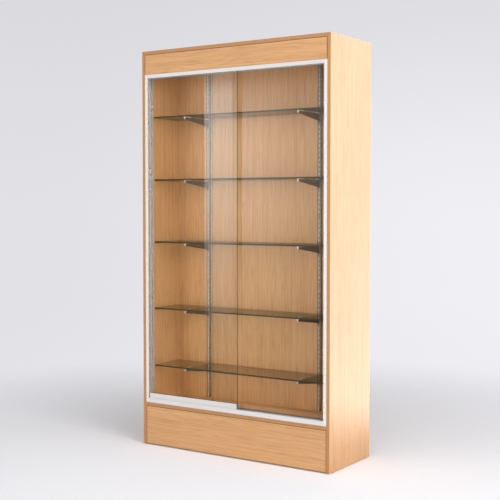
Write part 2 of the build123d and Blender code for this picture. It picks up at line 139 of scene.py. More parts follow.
class GlassSettings(PropertyGroup):
    """Clear float glass of the doors and the shelves."""
    pane: colour("Pane", "#FEFFFE", "Light passed by one surface of a pane")
    pane_edge: colour("Pane edge", "#767A5E", "Polished edge of a pane")
    shelf: colour("Shelf", "#F6F7EA", "Light passed by one surface of a shelf")
    shelf_edge: colour("Shelf edge", "#4A4A2E", "Ground edge of a shelf, seen end on")
    arris: length("Arris", 0.6, "Width of the bevel ground along each edge")
    ior: amount("Refractive index", 1.52, "Refractive index of float glass", 1)


class CarrierSettings(PropertyGroup):
    """Slotted uprights, shelf brackets, pads and screws."""
    zinc: colour("Zinc", "#CBB697", "Zinc plating of the margins, the screws and the axles")
    # painted highlight: the near-white tone of the strip between the slots stands for light reflected by the metal
    painted_highlight: colour("Burnished zinc", "#FFF6EA", "Zinc between the slots, burnished by the hooks")
    graphite: colour("Graphite coating", "#66543F", "Powder coating of the brackets")
    pad: colour("Pad", "#E6DCC8", "Pale translucent moulding")
    spangle: length("Zinc grain", 6, "Size of the clouds in the plating")
    powder: length("Powder grain", 1.2, "Size of the dimples in the coating")
    tip_height: length("Blade tip height", 10, "Height of the blade at its tip")
    waist_height: length("Blade waist height", 37, "Height of the blade where its flare starts")
    root_height: length("Blade root height", 49, "Height of the blade at the upright")
    flare_length: length("Flare length", 20, "Length of the flare at the root")
    slot_pitch: length("Slot pitch", 25, "Distance between two hook slots")
    first_slot: length("First slot", 22, "Height of the lowest slot above the upright's foot")
    slot_width: length("Slot width", 5, "Width of a hook slot")
    slot_height: length("Slot height", 14, "Height of a hook slot")
    strip_width: length("Strip width", 7, "Width of the flat strip around the slots")
    margin_slope: length("Margin slope", 2, "Fall of the margins from the strip to the folds")
    fold: length("Fold", 1.5, "Outer radius of the folds")
    sheet: length("Sheet", 1.5, "Thickness of the upright's steel")
    pressed_edge: length("Pressed edge", 0.5, "Rounding of the blade's edges")


class GearSettings(PropertyGroup):
    """Door shoes, rollers, seals, feet and blocks."""
    shoe: colour("Shoe", "#F2EDE9", "Bright anodised door shoe")
    cap: colour("End cap", "#9AA0A8", "Grey moulded end cap")
    rubber: colour("Rubber", "#1E1E20", "Gaskets and buffers")
    nylon: colour("Nylon", "#E4E1D8", "Rollers and guide liners")
    block: colour("Corner block", "#B48E66", "Moulded corner blocks")
    glide: colour("Glide", "#3A3836", "Moulded floor glides")
    corner: length("Profile corner", 0.8, "Rounding of the shoe's outer corners")
    grain: length("Moulded grain", 1.5, "Size of the grain of the moulded parts")


class StageSettings(PropertyGroup):
    """Floor, backdrop, lamps and camera."""
    camera_place: FloatVectorProperty(name="Camera place", description="Where the photograph was taken from",
                                      default=(3.0842, -4.6401, 1.3554), size=3, unit="LENGTH")
    camera_yaw: FloatProperty(name="Camera yaw", description="Turn of the camera to the left of +Y",
                              default=math.radians(33.81), subtype="ANGLE")
    camera_pitch: FloatProperty(name="Camera pitch", description="Tilt of the camera below the horizon",
                                default=math.radians(2.585), subtype="ANGLE")
    lens: amount("Lens", 73.51, "Focal length on a 36 mm sensor, in millimetres", 1)
    backdrop_left: colour("Backdrop left", "#E2E1E6", "Backdrop at the left of the photograph")
    backdrop_right: colour("Backdrop right", "#F0EFF4", "Backdrop at the right of the photograph")
    backdrop_high: colour("Backdrop high", "#D8D7DC", "Backdrop above the cabinet")
    floor: colour("Floor", "#F4F4F8", "Painted floor")
    sky: amount("Fill", 0.33, "Brightness of the light from all sides")
    lift: share("Floor lift", 0.12, "Light of its own that the camera sees on the floor")
    inside: amount("Backdrop in the case", 2.2, "Gain of the backdrop's light that enters the case")
    veil: share("Backdrop in inner gloss", 0.15, "Share of it that the gloss behind the panes sees")
    key: amount("Key", 101, "Power of the soft lamp at the right, in watts")
    front: amount("Front", 50, "Power of the broad lamp at the left front, in watts")
    top: amount("Top", 88, "Power of the broad lamp overhead, in watts")
    gloss: amount("Pane gloss", 1, "Brightness of the flats that the panes mirror")
    bounce: amount("Bounce", 0.85, "Brightness of those flats in satin surfaces")
    sheen: amount("Sheen", 4.9, "Brightness of the white flat seen in the right side")


GROUPS = {"cabinet_boards": BoardSettings, "cabinet_aluminium": AluminiumSettings, "cabinet_glass": GlassSettings,
          "cabinet_carriers": CarrierSettings, "cabinet_gear": GearSettings, "cabinet_stage": StageSettings}


# Shapes: each is (points, side faces, end faces)

ACROSS_X = ((0, 1, 0), (0, 0, 1), (1, 0, 0))
ACROSS_Y = ((1, 0, 0), (0, 0, 1), (0, -1, 0))
ACROSS_Z = ((1, 0, 0), (0, 1, 0), (0, 0, 1))
DOWNWARDS = ((1, 0, 0), (0, -1, 0), (0, 0, -1))


def unit(vectors):
    """Vectors divided by their lengths."""
    return vectors / np.linalg.norm(vectors, axis=-1, keepdims=True)


def rectangle(low, high):
    """Corners of a rectangle between two points, anticlockwise."""
    return np.array([(low[0], low[1]), (high[0], low[1]), (high[0], high[1]), (low[0], high[1])], float)


def rounded(outline, radius, steps=4):
    """Outline with round corners: each corner C becomes (1-t)^2 A + 2t(1-t) C + t^2 B, where A and B lie
    the radius away from it on its two edges, but not past 0.45 of the shorter one."""
    outline = np.asarray(outline, float)
    back = np.roll(outline, 1, axis=0) - outline
    on = np.roll(outline, -1, axis=0) - outline
    shortest = np.minimum(np.linalg.norm(back, axis=1), np.linalg.norm(on, axis=1))
    reach = np.minimum(np.broadcast_to(radius, shortest.shape), 0.45 * shortest)[:, None]
    start, end, corner = (a[:, None] for a in (outline + unit(back) * reach, outline + unit(on) * reach, outline))
    t = np.linspace(0, 1, steps + 1)[None, :, None]
    return ((1 - t) ** 2 * start + 2 * t * (1 - t) * corner + t ** 2 * end).reshape(-1, 2)


def inset(outline, distance):
    """Anticlockwise outline moved inwards: each point moves by distance (m + n) / (1 + m.n), where m and n
    are the inward normals of its two edges."""
    edge = unit(np.roll(outline, -1, axis=0) - outline)
    normal = np.stack([-edge[:, 1], edge[:, 0]], axis=1)
    before = np.roll(normal, 1, axis=0)
    return outline + distance * (normal + before) / (1 + (normal * before).sum(1))[:, None]


def closed(rings, loop=False):
    """Skin over a grid of rings: four-sided faces between neighbours, and one face over each end, or none
    where the last ring joins the first."""
    index = np.arange(rings.shape[0] * rings.shape[1]).reshape(rings.shape[:2])
    here, there = (index, np.roll(index, -1, axis=0)) if loop else (index[:-1], index[1:])
    sides = np.stack([here, np.roll(here, -1, axis=1), np.roll(there, -1, axis=1), there], axis=-1).reshape(-1, 4)
    ends = [] if loop else [index[0, ::-1].tolist(), index[-1].tolist()]
    return rings.reshape(-1, 3), sides.tolist(), ends


def slab(outline, low, high, edge, steps=3):
    """Plate between two levels with rounded edges: at the angle a its ring is inset by edge (1 - sin a) and
    lies edge (1 - cos a) from the face."""
    angle = np.linspace(0, math.pi / 2, steps + 1)
    levels = np.concatenate([low + edge * (1 - np.cos(angle)), high - edge * (1 - np.cos(angle[::-1]))])
    insets = edge * (1 - np.sin(np.concatenate([angle, angle[::-1]])))
    rings = [np.column_stack([inset(outline, i), np.full(len(outline), z)]) for i, z in zip(insets, levels)]
    return closed(np.array(rings))


def turned(profile, sides, loop=False):
    """Profile of (radius, height) pairs turned about the third axis: (r cos a, r sin a, h)."""
    angle = np.linspace(0, 2 * math.pi, sides, endpoint=False)
    radius, height = np.asarray(profile, float).T[:, :, None]
    rings = np.stack([radius * np.cos(angle), radius * np.sin(angle), height + 0 * angle], axis=-1)
    return closed(rings, loop)


def screw(shank, head, rise, length, sides=40):
    """Raised-head screw with its head's seat at the origin. The head's height is rise - fall (r / R)^2, less the
    cross cut into it, which is deep where the smaller of |x| and |y| is under an arm's half-width."""
    fall, cut = 0.35 * rise, 0.75 * rise
    half_width, side_slope = 0.16 * head, 0.08 * head
    arm_length, end_slope = 0.62 * head, 0.14 * head
    point, taper = 0.05 * shank, 1.5 * shank
    angle = np.linspace(0, 2 * math.pi, sides, endpoint=False)
    radius = head * np.array([0.98, 0.86, 0.72, 0.6, 0.52, 0.42, 0.3, 0.16, 0.04])[:, None]
    x, y = radius * np.cos(angle), radius * np.sin(angle)
    arm = np.clip((half_width - np.minimum(abs(x), abs(y))) / side_slope, 0, 1)
    reach = np.clip((arm_length - radius) / end_slope, 0, 1)
    dome = rise - fall * (radius / head) ** 2 - cut * arm * reach
    dome[0] = fall
    crown = np.stack([x, y, dome], axis=-1)
    stem, _, _ = turned([(point, -length), (shank, taper - length), (shank, 0), (head, 0)], sides)
    return closed(np.concatenate([stem.reshape(-1, sides, 3), crown]))


def open_sheet(grid):
    """The points of a grid, and its four-sided faces as an array of rows and columns."""
    index = np.arange(grid[..., 0].size).reshape(grid.shape[:2])
    faces = np.stack([index[:-1, :-1], index[:-1, 1:], index[1:, 1:], index[1:, :-1]], axis=-1)
    return grid.reshape(-1, 3), faces


def mirrored(half, middle):
    """Outline from its right half, listed from the bottom up, and the same points mirrored at the middle."""
    half = np.array(half)
    return np.concatenate([half, half[::-1] * (-1, 1) + (2 * middle, 0)])


def placed(shape, axes, origin=(0, 0, 0)):
    """Shape carried from its own three axes to the given ones, and then to the origin."""
    points, sides, ends = shape
    return points @ np.array(axes, float) + origin, sides, ends


def bar(outline, near, far, edge, steps=3):
    """Slab of an outline in y and z that runs from one x to another."""
    return placed(slab(outline, near, far, edge, steps), ACROSS_X)


def link_mesh(name, points, faces, finishes):
    """A mesh object in the scene."""
    mesh = bpy.data.meshes.new(name)
    mesh.from_pydata(points, [], faces)
    for finish in finishes:
        mesh.materials.append(finish)
    piece = bpy.data.objects.new(name, mesh)
    bpy.context.scene.collection.objects.link(piece)
    return piece


def make_piece(name, shapes, finishes, body, node, outwards=True):
    """One mesh object from several shapes, in the place of a node. Its end faces are flat, and its side faces are
    smooth up to 40 degrees and take the second finish where there is one."""
    starts = np.cumsum([0] + [len(points) for points, _, _ in shapes])
    sides, ends = ([[i + start for i in face] for shape, start in zip(shapes, starts) for face in shape[kind]]
                   for kind in (1, 2))
    piece = link_mesh(name, np.concatenate([points for points, _, _ in shapes]), sides + ends, finishes)
    mesh = piece.data
    is_side = np.arange(len(sides) + len(ends)) < len(sides)
    mesh.polygons.foreach_set("material_index", is_side.astype(np.int32) * (len(finishes) - 1))
    if outwards:
        work = bmesh.new()
        work.from_mesh(mesh)
        bmesh.ops.recalc_face_normals(work, faces=work.faces)
        work.to_mesh(mesh)
        work.free()
    mesh.set_sharp_from_angle(angle=math.radians(40))
    mesh.polygons.foreach_set("use_smooth", is_side)
    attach(piece, body)
    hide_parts(node)
    return piece


def dress(names, finish):
    """The packed nodes keep their shape and take a finish."""
    for name in names:
        mesh = NODES[name].data
        mesh.materials.clear()
        mesh.materials.append(finish)


# Finishes

COLOURS = {"data_type": "RGBA", "out": 2}


def add_node(tree, kind, inputs=(), out=0, **settings):
    """Adds a node with its settings, and gives one of its outputs, or all of them where out is None. Its inputs
    are listed in their order or under their names, each a number, a colour or the output that feeds it."""
    made = tree.nodes.new("ShaderNode" + kind)
    for key, value in settings.items():
        setattr(made, key, value)
    for key, value in inputs.items() if isinstance(inputs, dict) else enumerate(inputs):
        if isinstance(value, NodeSocket):
            tree.links.new(value, made.inputs[key])
        else:
            made.inputs[key].default_value = value
    return made.outputs if out is None else made.outputs[out]


def opaque(tone, shade=1.0):
    """A colour setting or a shade of it, with full alpha, as a colour socket takes it."""
    return (*(shade * c for c in tone[:3]), 1)


def emptied(owner):
    """A new material or world without its first nodes, and the function that adds a node to it."""
    owner.use_nodes = True
    owner.node_tree.nodes.clear()
    return owner, partial(add_node, owner.node_tree)


def finished(material, add, shader):
    """Gives the material its surface."""
    add("OutputMaterial", {"Surface": shader}, None)
    return material


def oak_melamine(name, along, roughness, cut_edges=False, eased_edges=False, seams=()):
    """Chipboard faced with a melamine paper printed as light oak and pressed against a pored steel sheet:
    straight satin grain with arches where the print follows the heart of the tree, and pores that catch a little
    light. Growth lines are the levels of a slow swell that is stretched along the grain. Eased edges and a strip
    beside each seam are painted dark brown as the shade in the joints. Cut edges have a glued banding in front and
    bare chips behind."""
    s = bpy.context.scene.cabinet_boards
    line_share, vein_share, cloud_share, pore_share = 0.17, 0.34, 0.4, 0.5
    arch_lean, cloud_scale, vein_scale = 0.5, (1.4, 9.0), 0.9
    eased_slope, slope_reach, rear_facing = -0.7, 0.15, 0.9
    material, add = emptied(bpy.data.materials.new(name))
    place = add("TexCoord", out="Object")
    axis = add("SeparateXYZ", [place], None)
    one, other = {"X": "YZ", "Z": "XY"}[along]
    cross = add("Math", [axis[one], axis[other]], operation="ADD")
    grid = add("CombineXYZ", [axis[along], cross])

    # the four patterns of the print: scale along and across the grain, detail and roughness of the noise
    stripes, pores, cloud, swell = (
        add("TexNoise", {"Vector": add("Mapping", {"Vector": grid, "Scale": (*scale, 1)}),
                         "Scale": 1.0, "Detail": detail, "Roughness": rough})
        for scale, detail, rough in (((vein_scale, 1 / s.stripe_width), 2.0, 0.5),
                                     ((1 / s.pore_length, 1 / s.pore_width), 3.0, 0.6),
                                     (cloud_scale, 2.0, 0.5),
                                     ((1 / s.figure_length, 1 / s.figure_width), 1.5, 0.4)))
    leaned = add("Math", [cross, arch_lean], operation="MULTIPLY")
    depth = add("Math", [swell, s.figure_depth, leaned], operation="MULTIPLY_ADD")
    phase = add("Math", [depth, 2 * math.pi / s.growth_line], operation="MULTIPLY")
    wave = add("Math", [phase], operation="SINE")
    line = add("MapRange", {"Value": wave, "To Max": line_share})
    veins = add("MapRange", {"Value": stripes, "From Min": 0.36, "From Max": 0.66, "To Max": vein_share})
    base = add("Math", [cloud, cloud_share, veins], operation="MULTIPLY_ADD")
    tone = add("Math", [base, line], operation="ADD")
    pore = add("MapRange", {"Value": pores, "From Min": 0.48, "From Max": 0.7, "To Max": pore_share})

    # painted shade in the joints: an eased edge faces about 45 degrees off the front, and a seam's shaded strip lies
    # within its reach of an end
    facing = add("SeparateXYZ", [add("NewGeometry", out="Normal")], "Y")
    lean = add("Math", [facing, eased_slope, slope_reach], operation="COMPARE")
    eased = add("Math", [lean, float(eased_edges)], operation="MULTIPLY")
    for way, end, breadth in seams:
        from_middle = add("Math", [axis[way]], operation="ABSOLUTE")
        seam_shade = add("Math", [from_middle, end, s.seam * breadth], operation="COMPARE")
        eased = add("Math", [eased, seam_shade], operation="MAXIMUM")
    # the last of these mixes paints shade along the eased edges and seams
    skin = opaque(s.oak_light)
    for factor, over in ((tone, s.oak_dark), (pore, s.pore_tone), (eased, s.joint_shade)):
        skin = add("Mix", {0: factor, 6: skin, 7: opaque(over)}, **COLOURS)
    if cut_edges:
        front, rear = CAD_BOX[0][1], CAD_BOX[1][1]
        near = add("Math", [axis["Y"], front + s.band_depth], operation="LESS_THAN")
        banded = add("Mix", {0: near, 6: skin, 7: opaque(s.edge_band)}, **COLOURS)
        chips = add("TexVoronoi", {"Vector": place, "Scale": 1 / s.chip_size}, "Color")
        chip = add("SeparateColor", [chips])
        raw = add("Mix", {0: chip, 6: opaque(s.chip_light), 7: opaque(s.chip_dark)}, **COLOURS)
        back = add("Math", [axis["Y"], rear - 0.1 * MM], operation="GREATER_THAN")
        away = add("Math", [facing, rear_facing], operation="GREATER_THAN")
        bare = add("Math", [back, away], operation="MULTIPLY")
        skin = add("Mix", {0: bare, 6: banded, 7: raw}, **COLOURS)

    satin = add("MapRange", {"Value": pores, "To Min": roughness - 0.06, "To Max": roughness + 0.08})
    bump = add("Bump", {"Strength": 0.25, "Distance": 0.05 * MM, "Height": pores})
    shader = add("BsdfPrincipled", {"Base Color": skin, "Roughness": satin, "Normal": bump, "IOR": 1.5})
    return finished(material, add, shader)


def satin_anodised_aluminium(name, along, tone, roughness, metal=1.0):
    """Extruded aluminium, etched to a satin and anodised clear: a soft pale metal with fine lines that the
    die leaves along the profile. A thicker, milky anodising scatters the light that metal doesn't reflect."""
    s = bpy.context.scene.cabinet_aluminium
    line_shade, line_share = 0.9, 0.15
    material, add = emptied(bpy.data.materials.new(name))
    place = add("TexCoord", out="Object")
    scale = [1 / s.die_line] * 3
    scale["XYZ".index(along)] = 1.0
    lines = add("Mapping", {"Vector": place, "Scale": scale})
    die = add("TexNoise", {"Vector": lines, "Scale": 1.0, "Detail": 4.0, "Roughness": 0.7})
    etch = add("TexNoise", {"Vector": place, "Scale": 9.0, "Detail": 3.0})
    drawn = add("MapRange", {"Value": die, "From Min": 0.35, "From Max": 0.75, "To Max": line_share})
    skin = add("Mix", {0: drawn, 6: opaque(tone), 7: opaque(tone, line_shade)}, **COLOURS)
    rough = add("MapRange", {"Value": etch, "From Min": 0.3, "From Max": 0.7,
                             "To Min": roughness - 0.02, "To Max": roughness + 0.02})
    shader = add("BsdfPrincipled", {"Base Color": skin, "Metallic": metal, "Roughness": rough})
    return finished(material, add, shader)


def float_glass(name, tone):
    """Float glass: flat fire-polished faces that let the lamps through to what stands behind them. A film left
    by wiping takes a trace of the light in soft clouds."""
    film = 0.985
    material, add = emptied(bpy.data.materials.new(name))
    place = add("TexCoord", out="Object")
    wiped = add("TexNoise", {"Vector": place, "Scale": 5.0, "Detail": 4.0})
    tint = add("Mix", {0: wiped, 6: opaque(tone), 7: opaque(tone, film)}, **COLOURS)
    glass = add("BsdfPrincipled", {"Base Color": tint, "Roughness": 0.0, "Transmission Weight": 1.0,
                                   "IOR": bpy.context.scene.cabinet_glass.ior})
    clear = add("BsdfTransparent", {"Color": opaque(tone)})
    shadow = add("LightPath", out="Is Shadow Ray")
    return finished(material, add, add("MixShader", [shadow, glass, clear]))


def clouded(name, tone, shade, clouds, grain, rough, bump, traits):
    """What the fittings' finishes share: a tone that turns to a shade of itself in soft clouds, and a grain that
    gives roughness and bump. Clouds and grain are (scale, detail), rough is (least, most), bump is (strength,
    depth in millimetres), and traits are other values of the shader."""
    material, add = emptied(bpy.data.materials.new(name))
    place = add("TexCoord", out="Object")
    cloud, speck = (add("TexNoise", {"Vector": place, "Scale": scale, "Detail": detail})
                    for scale, detail in (clouds, grain))
    skin = add("Mix", {0: cloud, 6: opaque(tone), 7: opaque(tone, shade)}, **COLOURS)
    satin = add("MapRange", {"Value": speck, "To Min": rough[0], "To Max": rough[1]})
    values = {"Base Color": skin, "Roughness": satin, **traits}
    if bump:
        values["Normal"] = add("Bump", {"Strength": bump[0], "Distance": bump[1] * MM, "Height": speck})
    return finished(material, add, add("BsdfPrincipled", values))


def glass_edge(name, tone, roughness):
    """Edge of float glass: light that has run far inside the sheet comes out green, and the grinding leaves
    a fine frosted streak along the edge."""
    wheel = (60, 3)
    return clouded(name, tone, 0.6, wheel, wheel, (roughness, roughness + 0.2), None,
                   {"IOR": 1.52, "Transmission Weight": 0.35})


def plated_steel(name, tone, roughness, metal=1.0):
    """Steel with zinc plating: a grey metal with soft clouds where the plating is thinner. The share of the light
    that isn't reflected as by metal scatters off its tone as off a matt surface; the uprights' near-white strip uses
    this as a painted highlight."""
    spangle = (1 / bpy.context.scene.cabinet_carriers.spangle, 3)
    return clouded(name, tone, 0.72, spangle, spangle, (roughness - 0.05, roughness + 0.12), (0.15, 0.05),
                   {"Metallic": metal})


def powder_coating(name, tone):
    """Graphite powder baked on pressed steel: dark satin with a fine orange peel, paler where it is worn."""
    peel = (1 / bpy.context.scene.cabinet_carriers.powder, 2)
    return clouded(name, tone, 1.5, (25, 3), peel, (0.36, 0.52), (0.5, 0.08), {"IOR": 1.5})


def moulded(name, tone, roughness, glow=0.0):
    """Injection-moulded plastic or rubber: an even tone with slight flow clouds and a fine spark-eroded grain.
    Translucent ones let light spread under the surface."""
    grain = (1 / bpy.context.scene.cabinet_gear.grain, 3)
    return clouded(name, tone, 0.85, (30, 2), grain, (roughness - 0.06, roughness + 0.08), (0.3, 0.04),
                   {"IOR": 1.5, "Subsurface Weight": glow, "Subsurface Scale": 2 * MM})


# Pieces

DOORS = ("front", "rear")
SIDES = ("left", "right")
SHELVES = range(1, 6)


class CABINET_OT_boards(Operator):
    """Dress the boards in light oak melamine with the grain of each board's own direction"""
    bl_idname = "cabinet.boards"
    bl_label = "Boards"

    def execute(self, context):
        s = context.scene.cabinet_boards
        plinth, fascia = (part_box(node)[1] for node in ("plinth_panel", "header_fascia"))
        # the axis that a seam is crossed along, the board's end there, and the seam's share of the full reach of its
        # painted shade
        seams = (("Z", plinth.z, 1), ("Z", fascia.z, 0.8), ("X", plinth.x, 0.6), ("X", fascia.x, 0.6))
        dress(("left_side_panel", "right_side_panel"),
              oak_melamine("oak_melamine_sides", "Z", s.face_roughness, cut_edges=True))
        dress(("back_panel", "left_back_batten", "right_back_batten", "centre_support"),
              oak_melamine("oak_melamine_upright", "Z", s.face_roughness))
        dress(("top_panel",), oak_melamine("oak_melamine_top", "X", s.face_roughness, cut_edges=True))
        dress(("header_fascia", "header_rail", "plinth_panel", "rear_plinth_rail"),
              oak_melamine("oak_melamine_level", "X", s.face_roughness, eased_edges=True, seams=seams))
        dress(("deck_panel",), oak_melamine("oak_melamine_deck", "X", s.deck_roughness, cut_edges=True))
        return {"FINISHED"}


class CABINET_OT_frame(Operator):
    """Dress the jambs and the tracks in satin anodised aluminium"""
    bl_idname = "cabinet.frame"
    bl_label = "Aluminium frame"

    def execute(self, context):
        s = context.scene.cabinet_aluminium
        dress(("left_jamb", "right_jamb"),
              satin_anodised_aluminium("anodised_jamb", "Z", s.tone, s.jamb_roughness, 0.6))
        dress(("top_track", "bottom_track"), satin_anodised_aluminium("anodised_track", "X", s.tone, s.roughness))
        return {"FINISHED"}


class CABINET_OT_panes(Operator):
    """Make the two door panes with polished arrises"""
    bl_idname = "cabinet.panes"
    bl_label = "Door panes"

    def execute(self, context):
        s = context.scene.cabinet_glass
        finishes = [float_glass("float_glass_pane", s.pane), glass_edge("polished_glass_edge", s.pane_edge, 0.05)]
        for door in DOORS:
            node = f"{door}_door_glass"
            low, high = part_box(node)
            outline = rounded(rectangle((low.x, low.z), (high.x, high.z)), 1.5 * MM)
            shape = placed(slab(outline, -high.y, -low.y, s.arris, 2), ACROSS_Y)
            make_piece(f"{door}_pane", [shape], finishes, f"{door}_door", node)
        return {"FINISHED"}


class CABINET_OT_shelves(Operator):
    """Make the five glass shelves with ground green edges"""
    bl_idname = "cabinet.shelves"
    bl_label = "Glass shelves"

    def execute(self, context):
        s = context.scene.cabinet_glass
        finishes = [float_glass("float_glass_shelf", s.shelf), glass_edge("ground_glass_edge", s.shelf_edge, 0.3)]
        for number in SHELVES:
            low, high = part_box(f"shelf_{number}")
            outline = rounded(rectangle((low.x, low.y), (high.x, high.y)), 2 * MM)
            shape = slab(outline, low.z, high.z, s.arris, 2)
            make_piece(f"glass_shelf_{number}", [shape], finishes, "cabinet", f"shelf_{number}")
        return {"FINISHED"}


def slotted_channel(s, low, high):
    """The folded section, carried up the upright in bands that start and end with each slot. Every slot band
    lacks the middle column. Gives the shape, and a one for each face of the strip that is painted as a highlight."""
    half, slot, strip, fold = (high.x - low.x) / 2, s.slot_width / 2, s.strip_width / 2, s.fold
    bend = np.radians((0, 20, 40, 60, 80, 90))
    folded = np.column_stack([half - fold * (1 - np.sin(bend)), s.margin_slope + fold * (1 - np.cos(bend))])
    right = np.concatenate([[(slot, 0), (strip, 0)], folded, [(half, high.y - low.y)]])
    section = np.concatenate([right[::-1] * (-1, 1), right]) + ((low.x + high.x) / 2, low.y)
    count = int((high.z - low.z - s.first_slot - s.slot_height) / s.slot_pitch) + 1
    floors = low.z + s.first_slot + s.slot_pitch * np.arange(count)
    levels = np.concatenate([[low.z], np.stack([floors, floors + s.slot_height], axis=1).ravel(), [high.z]])
    grid = np.empty((len(levels), len(section), 3))
    grid[..., :2] = section
    grid[..., 2] = levels[:, None]
    points, faces = open_sheet(grid)
    middle = len(right) - 1
    kept = np.ones(faces.shape[:2], bool)
    kept[1::2, middle] = False
    bright = np.zeros(faces.shape[:2], np.int32)
    bright[:, middle - 1:middle + 2] = 1
    return (points, faces[kept].tolist(), []), bright[kept]


class CABINET_OT_uprights(Operator):
    """Make the slotted uprights: folded channels with a flat strip of hook slots between sloping margins"""
    bl_idname = "cabinet.uprights"
    bl_label = "Slotted uprights"

    def execute(self, context):
        s = context.scene.cabinet_carriers
        # the strip between the slots is painted near-white and mostly matt as a highlight of the lit metal; the
        # margins keep the plain zinc
        finishes = [plated_steel("zinc_plated_upright", s.zinc, 0.22, 0.6),
                    plated_steel("zinc_strip_painted_highlight", s.painted_highlight, 0.4, 0.15)]
        for side in SIDES:
            shape, bright = slotted_channel(s, *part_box(f"{side}_upright"))
            piece = make_piece(f"{side}_slotted_upright", [shape], finishes, "cabinet",
                               f"{side}_upright", outwards=False)
            piece.data.polygons.foreach_set("material_index", bright)
            sheet = piece.modifiers.new("sheet", "SOLIDIFY")
            sheet.thickness = s.sheet
            sheet.offset = -1
            sheet.use_even_offset = True
        return {"FINISHED"}


def blade_outline(s, tip, root, top):
    """Outline of a blade in the plane of y and z, anticlockwise from the foot of its tip. Its depth grows evenly
    from tip to waist, and then by the same slope plus a square term to the root."""
    corner, tip_corner = 0.8 * MM, 3 * MM
    drop, neck, tooth, reach, width = 14 * MM, 8 * MM, 5 * MM, 4.7 * MM, 3 * MM
    waist = root - s.flare_length
    slope = (s.waist_height - s.tip_height) / (waist - tip)
    t = np.linspace(0, 1, 9)
    flare = s.waist_height + slope * s.flare_length * t
    flare = flare + (s.root_height - flare[-1]) * t ** 2
    under = np.column_stack([waist + s.flare_length * t, top - flare])
    # a hook from the slot's floor: under its neck, round its tooth and back over the neck
    hook = np.array([(0, 0), (reach - width, 0), (reach - width, -tooth), (reach, -tooth), (reach, neck), (0, neck)])
    hooks = [hook + (root, top - drop - below) for below in (s.slot_pitch, 0)]
    corners = np.concatenate([[(tip, top - s.tip_height)], under, *hooks, [(root, top), (tip, top)]])
    return rounded(corners, np.where(np.arange(len(corners)) == 0, tip_corner, corner))


class CABINET_OT_brackets(Operator):
    """Make the ten shelf brackets: pressed blades with rounded edges and two hooks each"""
    bl_idname = "cabinet.brackets"
    bl_label = "Shelf brackets"

    def execute(self, context):
        s = context.scene.cabinet_carriers
        finish = powder_coating("graphite_powder_coating", s.graphite)
        for number in SHELVES:
            for side in SIDES:
                low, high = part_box(f"bracket_{number}_{side}")
                outline = blade_outline(s, low.y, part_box(f"{side}_upright")[0].y, high.z)
                make_piece(f"shelf_bracket_{number}_{side}", [bar(outline, low.x, high.x, s.pressed_edge)], [finish],
                           "cabinet", f"bracket_{number}_{side}")
        return {"FINISHED"}


class CABINET_OT_pads(Operator):
    """Make the pale pads under the shelves, whose front ones fold over the bracket tips"""
    bl_idname = "cabinet.pads"
    bl_label = "Bracket pads"

    def execute(self, context):
        s = context.scene.cabinet_carriers
        half, front_length, rear_length, rise = 7 * MM, 50 * MM, 20 * MM, 3 * MM
        nose_half, nose_depth, nose_rise, edge = 3.5 * MM, 4 * MM, 1 * MM, 0.7 * MM
        shapes = []
        for number in SHELVES:
            for side in SIDES:
                low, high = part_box(f"bracket_{number}_{side}")
                middle = (low.x + high.x) / 2
                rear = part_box(f"shelf_{number}")[1].y
                front = low.y - nose_depth
                for near, far in ((front, front + front_length), (rear - rear_length, rear)):
                    outline = rounded(rectangle((middle - half, near), (middle + half, far)), 2 * MM)
                    shapes.append(slab(outline, high.z, high.z + rise, edge))
                nose = rounded(rectangle((middle - nose_half, front), (middle + nose_half, low.y)), 1.2 * MM)
                shapes.append(slab(nose, high.z - s.tip_height, high.z + nose_rise, edge))
        finish = moulded("translucent_moulded_pad", s.pad, 0.35, 0.3)
        make_piece("shelf_pads", shapes, [finish], "cabinet", "bracket_pads")
        return {"FINISHED"}


def screw_seats(node, axes, head, rise):
    """Seats and lengths of the screws of a node. Its corners fall into columns, one for each screw, where their
    places along each direction that the screws don't run in are more than a head apart."""
    points = np.array([v.co[:] for v in NODES[node].data.vertices])
    run = int(np.argmax(np.abs(axes[2])))
    out = axes[2][run]
    labels = np.zeros(len(points), int)
    for across in (i for i in range(3) if i != run):
        order = np.argsort(points[:, across])
        breaks = np.diff(points[order, across], prepend=points[order[0], across]) > head
        labels[order] = labels[order] * len(points) + np.cumsum(breaks)
    seats = []
    for label in np.unique(labels):
        low, high = points[labels == label].min(0), points[labels == label].max(0)
        seat = (low + high) / 2
        seat[run] = (high[run] if out > 0 else low[run]) - out * rise
        seats.append((seat, high[run] - low[run] - rise))
    return seats


class CABINET_OT_screws(Operator):
    """Make the raised-head screws of the uprights and of the two tracks"""
    bl_idname = "cabinet.screws"
    bl_label = "Screws"

    def execute(self, context):
        shank, head, rise = 1.9 * MM, 3.6 * MM, 1.7 * MM
        finish = plated_steel("zinc_plated_screw", context.scene.cabinet_carriers.zinc, 0.3)
        for node, axes in (("top_track_screws", DOWNWARDS), ("bottom_track_screws", ACROSS_Z),
                           ("upright_screws", ACROSS_Y)):
            shapes = [placed(screw(shank, head, rise, long), axes, seat)
                      for seat, long in screw_seats(node, axes, head, rise)]
            make_piece(node.replace("screws", "cross_screws"), shapes, [finish], "cabinet", node)
        return {"FINISHED"}


